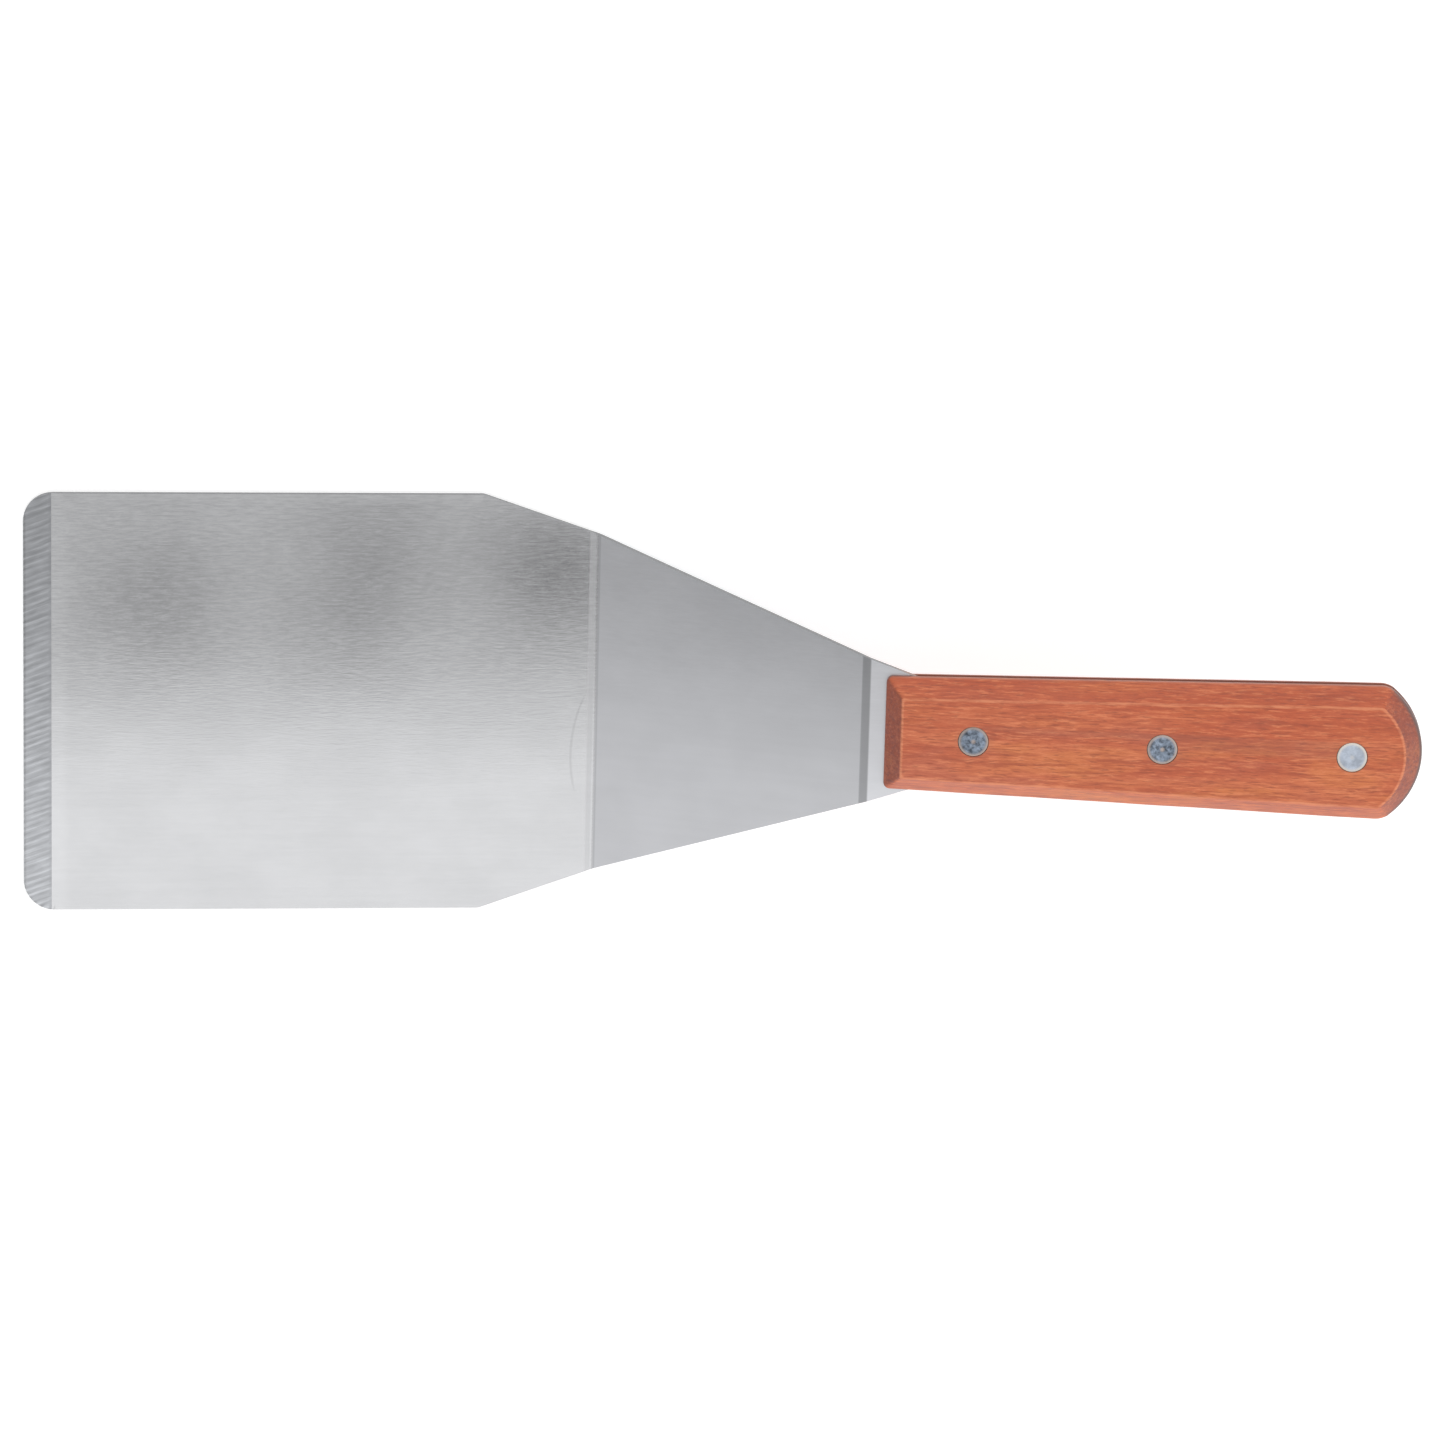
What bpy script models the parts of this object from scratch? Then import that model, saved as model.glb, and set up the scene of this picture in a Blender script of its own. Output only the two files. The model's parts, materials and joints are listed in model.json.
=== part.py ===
"""Grill spatula: a bent steel blade whose full tang runs between two wooden scales.

Three two-part rivets hold the scales: each is a sleeve pressed in from above and a pin pressed
into it from below. The blade lies flat on Z = 0 with its cutting edge towards -X. The neck rises
from the heel bend to the tang bend, and the handle goes on from there at a shallower angle.
"""

import math

import bmesh
import bpy
from mathutils import Matrix, Vector

# Driving dimensions, in metres and radians.
STEEL = 0.0015                       # thickness of the sheet
GAP = 0.0003                         # clearance between pieces that touch on the real spatula

BLADE_WIDTH = 0.1016
BLADE_LENGTH = 0.1356                # cutting edge to heel bend
SHOULDER_FROM_EDGE = 0.1086          # where the sides start to taper
FRONT_CORNER_RADIUS = 0.0070
SHOULDER_RADIUS = 0.003
GRIND_LENGTH = 0.0066                # ground band behind the cutting edge
EDGE_THICKNESS = 0.00045             # steel left at the cutting edge

NECK_LENGTH = 0.068                  # heel bend to tang bend, along the sheet
TANG_BEND_WIDTH = 0.0352
HEEL_ANGLE = math.radians(24)        # the neck rises by this from the blade
TANG_ANGLE = math.radians(14)        # the handle turns back down by this from the neck
HEEL_RADIUS = 0.0055
TANG_RADIUS = 0.0085

BARE_TANG = 0.0046                   # tang bend to the front of the wood
HANDLE_LENGTH = 0.1261
HANDLE_THICKNESS = 0.015
HANDLE_FRONT_WIDTH = 0.0272
HANDLE_REAR_WIDTH = 0.0328           # as the straight sides would reach it at the very end
HANDLE_END_RADIUS = 0.0195
HANDLE_FRONT_CORNER_RADIUS = 0.0015
HANDLE_END_CORNER_RADIUS = 0.0055
CHAMFER_WIDTH = 0.0041               # of a scale's chamfers, seen from above
CHAMFER_DEPTH = 0.0055               # how far down the scale's side they reach
TANG_INSET = 0.0004                  # how far the tang stays inside the wood's outline

FIRST_RIVET = 0.0210                 # from the front of the wood
RIVET_PITCH = 0.0443
RIVET_PLACES = ("front", "middle", "rear")
HEAD_DIAMETER = 0.0071
HEAD_THICKNESS = 0.0013
HEAD_EDGE = 0.0002                   # broken edge round the face of a head
BARREL_DIAMETER = 0.005
BARREL_END = -0.004                  # height of the sleeve's open end, from the middle of the tang
BORE_END = 0.0045                    # height of the blind end of the sleeve's bore
BORE_DIAMETER = 0.0038
PIN_DIAMETER = BORE_DIAMETER - 2 * GAP
PIN_END = 0.003

# Places along the flat blank, before it is bent. The middle of the flat blade is at 0.
CUTTING_EDGE = -BLADE_LENGTH / 2
HEEL = BLADE_LENGTH / 2
SHOULDER = CUTTING_EDGE + SHOULDER_FROM_EDGE
TANG_BEND = HEEL + NECK_LENGTH
WOOD_FRONT = TANG_BEND + BARE_TANG

# How much each side leans in or out for each metre along the blank.
TAPER_SLOPE = (BLADE_WIDTH - TANG_BEND_WIDTH) / 2 / (TANG_BEND - SHOULDER)
HANDLE_SLOPE = (HANDLE_REAR_WIDTH - HANDLE_FRONT_WIDTH) / 2 / HANDLE_LENGTH

ARC_STEP = math.radians(6)
BEND_CUTS = 8
ROUND_STEPS = 32
WELD = 1e-6
CUTTER_MARGIN = 0.01


def add_collection(name):
    collection = bpy.data.collections.new(name)
    bpy.context.scene.collection.children.link(collection)
    return collection


def add_material(name, colour, roughness, metallic):
    material = bpy.data.materials.new(name)
    material.use_nodes = True
    shader = material.node_tree.nodes["Principled BSDF"]
    shader.inputs["Base Color"].default_value = (*colour, 1)
    shader.inputs["Roughness"].default_value = roughness
    shader.inputs["Metallic"].default_value = metallic
    return material


def add_object(name, data, collection, material=None, parent=None):
    obj = bpy.data.objects.new(name, data)
    collection.objects.link(obj)
    obj.parent = parent
    if material:
        data.materials.append(material)
    return obj


def add_cutter(name, mesh, collection, parent=None):
    cutter = add_object(name, mesh, collection, parent=parent)
    cutter.hide_render = True
    cutter.display_type = "WIRE"
    return cutter


def cut(obj, cutter, operation="DIFFERENCE"):
    boolean = obj.modifiers.new(cutter.name, "BOOLEAN")
    boolean.operation = operation
    boolean.solver = "EXACT"
    boolean.object = cutter


def shade_round(mesh):
    mesh.shade_smooth()
    mesh.set_sharp_from_angle(angle=math.radians(30))


def arc(centre, radius, start, end):
    """Points on an arc from one angle to another, both ends included."""
    steps = max(1, math.ceil(abs(end - start) / ARC_STEP))
    angles = (start + (end - start) * i / steps for i in range(steps + 1))
    return [centre + radius * Vector((math.cos(a), math.sin(a))) for a in angles]


def rounded(corners):
    """The closed outline through (x, y, radius) corners, each one an arc of its own radius."""
    points = []
    for i, (x, y, radius) in enumerate(corners):
        corner = Vector((x, y))
        back = (Vector(corners[i - 1][:2]) - corner).normalized()
        ahead = (Vector(corners[(i + 1) % len(corners)][:2]) - corner).normalized()
        if not radius:
            points.append(corner)
            continue
        half = back.angle(ahead) / 2
        centre = corner + (back + ahead).normalized() * radius / math.sin(half)
        first = corner + back * radius / math.tan(half) - centre
        last = corner + ahead * radius / math.tan(half) - centre
        start = math.atan2(first.y, first.x)
        # The short way round, from one side of the corner to the other.
        turn = (math.atan2(last.y, last.x) - start + math.pi) % math.tau - math.pi
        points += arc(centre, radius, start, start + turn)
    return points


def both_sides(corners):
    """Closes a list of corners on the +Y side with its mirror image on the -Y side."""
    return corners + [(x, -y, radius) for x, y, radius in reversed(corners) if y > 0]


def plate_mesh(name, outline, thickness):
    """A flat outline as a solid plate, half of its thickness on each side of Z = 0."""
    curve = bpy.data.curves.new(name, "CURVE")
    curve.dimensions = "2D"
    curve.fill_mode = "BOTH"
    curve.extrude = thickness / 2
    spline = curve.splines.new("POLY")
    spline.points.add(len(outline) - 1)
    for point, (x, y) in zip(spline.points, outline):
        point.co = (x, y, 0, 1)
    spline.use_cyclic_u = True
    holder = bpy.data.objects.new(name + "_outline", curve)
    bpy.context.scene.collection.objects.link(holder)
    graph = bpy.context.evaluated_depsgraph_get()
    mesh = bpy.data.meshes.new_from_object(holder.evaluated_get(graph))
    bpy.data.objects.remove(holder)
    bpy.data.curves.remove(curve)
    bm = bmesh.new()
    bm.from_mesh(mesh)
    bmesh.ops.remove_doubles(bm, verts=bm.verts, dist=WELD)
    bm.to_mesh(mesh)
    bm.free()
    return mesh


def turned_mesh(name, profile):
    """A turned solid from its (radius, height) profile, which starts and ends on the axis."""
    mesh = bpy.data.meshes.new(name + "_profile")
    edges = [(i, i + 1) for i in range(len(profile) - 1)]
    mesh.from_pydata([(radius, 0, height) for radius, height in profile], edges, [])
    holder = bpy.data.objects.new(name + "_profile", mesh)
    bpy.context.scene.collection.objects.link(holder)
    screw = holder.modifiers.new("turn", "SCREW")
    screw.steps = ROUND_STEPS
    screw.render_steps = ROUND_STEPS
    screw.use_merge_vertices = True
    screw.merge_threshold = WELD
    graph = bpy.context.evaluated_depsgraph_get()
    solid = bpy.data.meshes.new_from_object(holder.evaluated_get(graph))
    solid.name = name
    bpy.data.objects.remove(holder)
    bpy.data.meshes.remove(mesh)
    shade_round(solid)
    return solid


def half_taper(x):
    """Half the width of the steel between the shoulders and the handle, along the flat blank."""
    return BLADE_WIDTH / 2 - TAPER_SLOPE * (x - SHOULDER)


def half_handle(x, inset=0):
    """Half the width of the handle, at a distance x behind the front of the wood."""
    return HANDLE_FRONT_WIDTH / 2 + HANDLE_SLOPE * x - inset


def handle_end(start, corner_radius, inset=0):
    """The corners of the handle's round end on the +Y side, for wood that starts at x = start."""
    centre = Vector((start + HANDLE_LENGTH - HANDLE_END_RADIUS, 0))
    radius = HANDLE_END_RADIUS - inset
    side = half_handle(HANDLE_LENGTH - HANDLE_END_RADIUS / 2, inset)
    points = arc(centre, radius, math.asin(side / radius), 0)
    corner = (*points[0], corner_radius)
    return [corner] + [(x, y, 0) for x, y in points[1:]]


def taper_meets_tang():
    """Where the tapering steel becomes as narrow as the tang under the wood, along the flat blank."""
    excess = half_taper(WOOD_FRONT) - half_handle(0, TANG_INSET)
    return WOOD_FRONT + excess / (TAPER_SLOPE + HANDLE_SLOPE)


def blank_outline():
    merge = taper_meets_tang()
    side = [
        (CUTTING_EDGE, BLADE_WIDTH / 2, FRONT_CORNER_RADIUS),
        (SHOULDER, BLADE_WIDTH / 2, SHOULDER_RADIUS),
        (merge, half_handle(merge - WOOD_FRONT, TANG_INSET), 0),
    ]
    end = handle_end(WOOD_FRONT, HANDLE_END_CORNER_RADIUS - TANG_INSET, TANG_INSET)
    return rounded(both_sides(side + end))


def scale_outline(front_corner_radius=0, end_corner_radius=0):
    front = [(0, half_handle(0), front_corner_radius)]
    return rounded(both_sides(front + handle_end(0, end_corner_radius)))


def bend(point, start, angle, radius):
    """Where a point of the sheet goes when the sheet beyond x = start is bent upwards by angle."""
    turned = min(max((point.x - start) / radius, 0), abs(angle))
    centre = Vector((start, 0, STEEL / 2 + math.copysign(radius, angle)))
    rest = Vector((point.x - radius * turned, point.y, point.z))
    turn = Matrix.Rotation(-math.copysign(turned, angle), 3, "Y")
    return centre + turn @ (rest - centre)


def bends():
    """Each bend as (start, angle, radius), the one furthest from the cutting edge first."""
    for place, angle, radius in (
        (TANG_BEND, -TANG_ANGLE, TANG_RADIUS),
        (HEEL, HEEL_ANGLE, HEEL_RADIUS),
    ):
        yield place - radius * abs(angle) / 2, angle, radius


def bend_all(point):
    for start, angle, radius in bends():
        point = bend(point, start, angle, radius)
    return point


def bent_blade_mesh():
    """The blank, cut across into narrow strips where it bends, and then bent."""
    mesh = plate_mesh("blade", blank_outline(), STEEL)
    bm = bmesh.new()
    bm.from_mesh(mesh)
    bmesh.ops.translate(bm, verts=bm.verts, vec=(0, 0, STEEL / 2))
    for start, angle, radius in bends():
        for i in range(BEND_CUTS + 1):
            x = start + radius * abs(angle) * i / BEND_CUTS
            bmesh.ops.bisect_plane(
                bm,
                geom=bm.verts[:] + bm.edges[:] + bm.faces[:],
                plane_co=(x, 0, 0),
                plane_no=(1, 0, 0),
            )
    for vertex in bm.verts:
        vertex.co = bend_all(vertex.co)
    bm.to_mesh(mesh)
    bm.free()
    shade_round(mesh)
    return mesh


def grinding_wedge_mesh():
    """A block whose underside slopes from the top of the sheet down to the cutting edge."""
    mesh = bpy.data.meshes.new("grinding_wedge")
    slope = math.atan2(STEEL - EDGE_THICKNESS, GRIND_LENGTH)
    size = Vector((4 * GRIND_LENGTH, BLADE_WIDTH + CUTTER_MARGIN, CUTTER_MARGIN))
    bm = bmesh.new()
    bmesh.ops.create_cube(bm, size=1)
    bmesh.ops.scale(bm, verts=bm.verts, vec=size)
    # The middle of the underside goes to the line where the ground band starts.
    bmesh.ops.translate(bm, verts=bm.verts, vec=(0, 0, size.z / 2))
    bmesh.ops.rotate(bm, verts=bm.verts, matrix=Matrix.Rotation(-slope, 3, "Y"))
    bmesh.ops.translate(bm, verts=bm.verts, vec=(CUTTING_EDGE + GRIND_LENGTH, 0, STEEL))
    bm.to_mesh(mesh)
    bm.free()
    return mesh


def rod_mesh(name, diameter, bottom, top):
    """A plain cylinder along Z, for cutting a hole."""
    mesh = bpy.data.meshes.new(name)
    bm = bmesh.new()
    bmesh.ops.create_cone(
        bm,
        cap_ends=True,
        segments=ROUND_STEPS,
        radius1=diameter / 2,
        radius2=diameter / 2,
        depth=top - bottom,
        matrix=Matrix.Translation((0, 0, (top + bottom) / 2)),
    )
    bm.to_mesh(mesh)
    bm.free()
    return mesh


def scale_mesh():
    """One scale with sharp corners, its inner face down and chamfers round its outer face."""
    inner = STEEL / 2 + GAP
    waist = HANDLE_THICKNESS / 2 - CHAMFER_DEPTH
    mesh = plate_mesh("handle_scale", scale_outline(), waist - inner)
    bm = bmesh.new()
    bm.from_mesh(mesh)
    bmesh.ops.translate(bm, verts=bm.verts, vec=(0, 0, (waist + inner) / 2))
    bmesh.ops.dissolve_limit(
        bm, angle_limit=math.radians(1), verts=bm.verts, edges=bm.edges, delimit={"NORMAL"}
    )
    # The outer face shrinks by the chamfers' width and rises by their depth.
    outer_face = max(bm.faces, key=lambda face: face.calc_center_median().z)
    bmesh.ops.inset_region(bm, faces=[outer_face], thickness=CHAMFER_WIDTH, use_even_offset=True)
    bmesh.ops.translate(bm, verts=outer_face.verts, vec=(0, 0, CHAMFER_DEPTH))
    bm.to_mesh(mesh)
    bm.free()
    shade_round(mesh)
    return mesh


def sleeve_profile():
    """The hollow half of a rivet, from the middle of its face to the blind end of its bore."""
    face = HANDLE_THICKNESS / 2
    return [
        (0, face),
        (HEAD_DIAMETER / 2 - HEAD_EDGE, face),
        (HEAD_DIAMETER / 2, face - HEAD_EDGE),
        (HEAD_DIAMETER / 2, face - HEAD_THICKNESS),
        (BARREL_DIAMETER / 2, face - HEAD_THICKNESS),
        (BARREL_DIAMETER / 2, BARREL_END),
        (BORE_DIAMETER / 2, BARREL_END),
        (BORE_DIAMETER / 2, BORE_END),
        (0, BORE_END),
    ]


def pin_profile():
    """The solid half of a rivet, from the end of its shank to the middle of its face."""
    face = -HANDLE_THICKNESS / 2
    return [
        (0, PIN_END),
        (PIN_DIAMETER / 2, PIN_END),
        (PIN_DIAMETER / 2, face + HEAD_THICKNESS),
        (HEAD_DIAMETER / 2, face + HEAD_THICKNESS),
        (HEAD_DIAMETER / 2, face + HEAD_EDGE),
        (HEAD_DIAMETER / 2 - HEAD_EDGE, face),
        (0, face),
    ]


def build_blade(parts, cutters, steel):
    blade = add_object("blade", bent_blade_mesh(), parts, steel)
    cut(blade, add_cutter("grinding_wedge", grinding_wedge_mesh(), cutters))
    return blade


def build_scales(parts, cutters, wood, handle):
    """The two scales are alike: the lower one is turned over about the handle's axis."""
    mesh = scale_mesh()
    top = add_object("handle_scale_top", mesh, parts, wood, handle)
    bottom = add_object("handle_scale_bottom", mesh, parts, parent=handle)
    bottom.rotation_euler.x = math.pi
    outline = scale_outline(HANDLE_FRONT_CORNER_RADIUS, HANDLE_END_CORNER_RADIUS)
    rounded_block = plate_mesh("rounded_block", outline, HANDLE_THICKNESS + CUTTER_MARGIN)
    block = add_cutter("rounded_block", rounded_block, cutters, handle)
    for scale in (top, bottom):
        cut(scale, block, "INTERSECT")
    return top, bottom


def build_rivets(parts, cutters, rivet_metal, handle, blade, scales):
    """Each rivet, with the hole for its barrel and the recesses for its two heads."""
    face = HANDLE_THICKNESS / 2
    sleeve = turned_mesh("rivet_sleeve", sleeve_profile())
    pin = turned_mesh("rivet_pin", pin_profile())
    for mesh in (sleeve, pin):
        mesh.materials.append(rivet_metal)
    barrel_hole = BARREL_DIAMETER + 2 * GAP
    head_hole = HEAD_DIAMETER + 2 * GAP
    recess_floor = face - HEAD_THICKNESS - GAP
    hole = rod_mesh("barrel_hole", barrel_hole, -face - CUTTER_MARGIN, face + CUTTER_MARGIN)
    recess = rod_mesh("head_recess", head_hole, recess_floor, face + CUTTER_MARGIN)
    for i, place in enumerate(RIVET_PLACES):
        position = (FIRST_RIVET + i * RIVET_PITCH, 0, 0)
        for name, mesh in (("rivet_sleeve_", sleeve), ("rivet_pin_", pin)):
            add_object(name + place, mesh, parts, parent=handle).location = position
        drill = add_cutter("barrel_hole_" + place, hole, cutters, handle)
        drill.location = position
        cut(blade, drill)
        for scale, turned_over in zip(scales, (0, math.pi)):
            counterbore = add_cutter(f"recess_{scale.name}_{place}", recess, cutters, handle)
            counterbore.location = position
            counterbore.rotation_euler.x = turned_over
            cut(scale, drill)
            cut(scale, counterbore)


def main():
    for obj in list(bpy.data.objects):
        bpy.data.objects.remove(obj)
    parts = add_collection("grill_spatula")
    cutters = add_collection("cutters")
    steel = add_material("brushed_steel", (0.62, 0.62, 0.63), 0.3, 1)
    wood = add_material("red_brown_wood", (0.5, 0.17, 0.08), 0.5, 0)
    rivet_metal = add_material("rivet_aluminium", (0.6, 0.64, 0.68), 0.35, 1)

    # The handle's own frame: X along it from the front of the wood, Z out of its upper face.
    handle = bpy.data.objects.new("handle_axis", None)
    parts.objects.link(handle)
    handle.location = bend_all(Vector((WOOD_FRONT, 0, STEEL / 2)))
    handle.rotation_euler.y = TANG_ANGLE - HEEL_ANGLE

    blade = build_blade(parts, cutters, steel)
    scales = build_scales(parts, cutters, wood, handle)
    build_rivets(parts, cutters, rivet_metal, handle, blade, scales)


main()
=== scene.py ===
"""Looks of the grill spatula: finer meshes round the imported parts, their materials and a light table.

Every piece keeps the place of the CAD node that it stands for. The steel is the CAD blade with
rounded rims, a ground band with real grinding ridges and the slight waves of thin sheet. The wooden
scales and the rivets are built again from the CAD sizes with fine profiles.
"""

import json
import math

import bmesh
import bpy
import numpy as np
from mathutils import Matrix, Vector, noise


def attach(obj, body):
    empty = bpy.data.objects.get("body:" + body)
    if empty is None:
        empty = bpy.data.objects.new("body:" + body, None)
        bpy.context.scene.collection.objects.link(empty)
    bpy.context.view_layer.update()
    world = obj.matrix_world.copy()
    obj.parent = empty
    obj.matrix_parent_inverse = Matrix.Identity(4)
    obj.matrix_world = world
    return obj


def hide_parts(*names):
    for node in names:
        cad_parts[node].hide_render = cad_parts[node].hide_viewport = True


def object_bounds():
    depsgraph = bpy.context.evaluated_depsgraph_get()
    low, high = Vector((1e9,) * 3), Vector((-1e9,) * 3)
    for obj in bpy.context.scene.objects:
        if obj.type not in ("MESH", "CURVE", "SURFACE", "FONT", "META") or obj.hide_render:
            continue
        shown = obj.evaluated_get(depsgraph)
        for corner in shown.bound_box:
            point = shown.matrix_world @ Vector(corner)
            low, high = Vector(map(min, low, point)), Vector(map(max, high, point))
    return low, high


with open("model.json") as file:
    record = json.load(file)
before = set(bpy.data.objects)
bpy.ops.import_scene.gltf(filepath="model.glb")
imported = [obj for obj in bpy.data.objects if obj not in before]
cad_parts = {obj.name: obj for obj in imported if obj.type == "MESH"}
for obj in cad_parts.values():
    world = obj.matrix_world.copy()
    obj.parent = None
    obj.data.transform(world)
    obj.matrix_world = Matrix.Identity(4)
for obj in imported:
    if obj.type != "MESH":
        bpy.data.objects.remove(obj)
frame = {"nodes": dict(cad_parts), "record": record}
cad_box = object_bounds()

# Sizes in metres and angles in radians.
WELD = 1e-7
FLAT_ANGLE = math.radians(0.3)
RIM_ANGLE = math.radians(50)         # edges sharper than this are rims
RIM_STEPS = 3                        # strips in a rounded rim
FLAT_WEIGHT = 80                     # how strongly large faces keep their flat shading

# The steel sheet.
SATIN, GROUND, SHEARED = range(3)    # the blade's materials
RIM_ROUND = 0.00014                  # rounding of the sheared rim
RIM_LEVEL = 0.8                      # a face that looks up or down less than this belongs to the rim
GRIND_TILT = 0.1                     # a face of the ground band leans to the front by more than this
BEND_MARGIN = math.radians(0.5)      # a face of a bend differs by this much from the flats beside it

WAVE_CELL = 0.004
WAVE_HEIGHT = 0.00016
WAVE_LENGTH = 0.06
WAVE_SEED = 0.3

RIDGE_PITCH = 0.00147                # from one grinding ridge to the next
RIDGE_CUTS = 8                       # cuts for each ridge
RIDGE_ANGLE = math.radians(22)
RIDGE_HEIGHT = 0.00004
RIDGE_DRIFT = 0.5                    # how far ridges stray from their even places, in pitches
RIDGE_DRIFT_LENGTH = 6 * RIDGE_PITCH
RIDGE_VARIETY = 0.6                  # how much their heights differ
RIDGE_VARIETY_LENGTH = 3 * RIDGE_PITCH
BAND_CUTS = (0.12, 0.5, 0.88)        # cuts along the cutting edge, as shares of the band's length

PRESS_MARK = (0.0313, -0.013)        # the centre of the press mark's arc: X behind the heel, and Y
PRESS_MARK_RADIUS = 0.0365
PRESS_MARK_LINE = (0.00008, 0.0004)  # half width and softness
PRESS_MARK_MIDDLE = -0.010           # Y of the middle of the part that can be seen
PRESS_MARK_SPAN = (0.008, 0.006)     # half length and fade of that part
PRESS_MARK_TONE = 0.9

NECK_TONE = 0.84                     # the neck is duller than the blade
BRUSHING_FADE = (-0.011, 0.022)      # Y between which the brushing grows from faint to strong
BRUSHING_STRENGTH = (0.015, 0.088)
BLADE_STEEL = (0.71, 0.715, 0.73)
NECK_STEEL = (0.71, 0.717, 0.745)
GROUND_STEEL = (0.51, 0.522, 0.545)
# The sheet's rim is painted dark, as shade.
SHEARED_STEEL = (0.26, 0.265, 0.27)
SEAM_SHADE_STEEL = (0.37, 0.27, 0.235)  # painted shade on the tang's rim between the scales
SEAM_SHADE_FADE = 0.006
BRUSHING_DEPTH = 0.00004
GRIT_DEPTH = 0.00003
SHEARING_DEPTH = 0.00001

# The wooden scales, in the handle's frame: X along the handle, Z out of its upper face.
SIDE_STEP = 0.004
TURN_STEPS = 10
END_STEPS = 40
LAST_POINT_CUT = 2                   # the last point of the end's arc that its rounded corner replaces
FRONT_STEPS = 12
CHAMFER_WIDTH = 0.0041
CHAMFER_DEPTH = 0.0055
CREST_ROUND = 0.00052                # how far the rounding of the ridge beside the flat face reaches
WAIST_ROUND = 0.00045                # the same for the ridge beside the straight side
WAIST_HIGHLIGHT = 0.15                  # share of the painted highlight on that ridge, where 1 is the ridge beside the face
INNER_ROUND = 0.00015
ROUND_POINTS = 6
END_RADIUS = 0.0195
END_CORNER_RADIUS = 0.0055
FRONT_CORNER_RADIUS = 0.0015
LEAST_CORNER_RADIUS = 0.0006
TANG_CLEARANCE = 0.00002
HAND_FINISH = 0.00007                # unevenness of the hand-sanded wood
HAND_FINISH_LENGTH = 0.014
LOWER_SCALE_SEED = 5.0
LOWER_SCALE_GRAIN = 0.05             # how far from the upper scale's grain the lower scale's is taken

DARK_FIGURE = (0.565, 0.107, 0.032)
LIGHT_FIGURE = (0.67, 0.168, 0.058)
YELLOW_CAST = (0.68, 0.195, 0.045)
DULL_CAST = (0.50, 0.115, 0.062)
RED_SIDE = (0.54, 0.088, 0.023)
DARK_BAND = (0.37, 0.058, 0.018)
LIGHT_FIBRE = (0.86, 0.275, 0.112)
DARK_FIBRE = (0.39, 0.062, 0.018)
PORE = (0.26, 0.042, 0.014)
END_GRAIN_SHADE = (0.6, 0.6, 0.82)
VESSEL = (0.19, 0.05, 0.04)
# painted highlight along the ridges of the chamfers
CREST_HIGHLIGHT_WOOD = (0.80, 0.27, 0.125)
SEAM_SHADE_WOOD = (0.22, 0.115, 0.09)    # painted shade towards the seam between the scales
REAR_SHADE_WOOD = (0.12, 0.085, 0.08)      # painted shade at the foot of the rear chamfer
FIBRE_DEPTH = 0.00003
PORE_DEPTH = 0.00005

# The rivets.
RECESS_CLEARANCE = 0.00005
RECESS_RIM = 0.0001
BARREL_DIAMETER = 0.005
HEAD_THICKNESS = 0.0013
HEAD_ROUND = 0.00095                 # width of the rounded border of a head
HEAD_DROP = 0.00022                  # height of that border
DIMPLE_DEPTH = 0.00012
DIMPLE_RADIUS = 0.0005
DIMPLE_EDGE = (0.0007, 0.0002)       # the dimple's brightness grows from the first radius to the second
PIT_SIZE = 0.0009
FINE_PIT_SIZE = 0.00042
FINE_PIT_SHARE = 0.6
PIT_FADE = (0.2, 0.8)                # shares of the border over which the pits fade out
PRESSED_DEPTH = 0.00001
ROUND_SEGMENTS = 96
ROUND_ANGLES = [math.tau * j / ROUND_SEGMENTS for j in range(ROUND_SEGMENTS)]
FACE_RINGS = 16
PIN_SHANK = 0.6                      # radius, as a share of the sleeve's
PIN_END = -0.3                       # heights, as shares of half the handle's thickness
SLEEVE_END = -0.5
BORE_SHARE = 0.76                    # radius of the sleeve's bore, as a share of its outer radius
BORE_END = 0.55
BRUISED_DENTS = 0.00007
BRUISED_DIMPLE = 0.8                 # brightness
BRUISED_METAL = {
    "colour": (0.235, 0.28, 0.35),
    # the colour of the painted highlight on the head's border
    "border_highlight": (0.56, 0.46, 0.41),
    "roughness": (0.35, 0.55),
    "mottle": 0.65,
}
CLEAN_DENTS = 0.00001
CLEAN_DIMPLE = 0.35
CLEAN_METAL = {
    "colour": (0.42, 0.465, 0.54),
    # the colour of the painted highlight on the head's border
    "border_highlight": (0.76, 0.70, 0.63),
    "roughness": (0.32, 0.42),
    "mottle": 0.14,
}
PIN_SEED = 5

# The studio.
FLOOR_RADIUS = 6.0
FLOOR_CLEARANCE = 0.00005
FLOOR_GREY = 0.75
FLOOR_GLOW = 0.45
TENT_LEVEL = 0.95
TENT_LEAN = (0.4, -0.22, 0.15)       # the direction in which the tent grows brighter, and by how much
HORIZON_REFLECTION = 0.45
ZENITH_REFLECTION = 0.6              # how much brighter the tent's top is mirrored than its horizon
CARD_HEIGHT = 0.12
CARD_SIZE = (0.34, 0.3)
CARD_PATCHES = (                     # X and Y of a soft dark patch, its width and its depth
    (-0.036, -0.002, 0.017, 0.36),
    (0.021, 0.010, 0.015, 0.35),
    (0.012, -0.010, 0.013, 0.27),
    (0.069, 0.006, 0.016, 0.55),
)
PATCH_REACH = 1.6                    # radius at which a patch ends, in widths
CARD_FADE = (-0.049, -0.018, 0.955, 0.6)      # two values of Y and the card's light at each
CARD_SECOND_FADE = (0.0, 0.028, 1.0, 0.93)    # two values of Y and a further factor at each
CAMERA_PLACE = (-0.05822, 0.34154, 1.38688)
CAMERA_TURN = (math.radians(-14.1165), math.radians(-6.1053), math.radians(1.4740))
CAMERA_LENS = 149.05
CAMERA_SENSOR = 36.0


# ---------------------------------------------------------------- meshes


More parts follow.
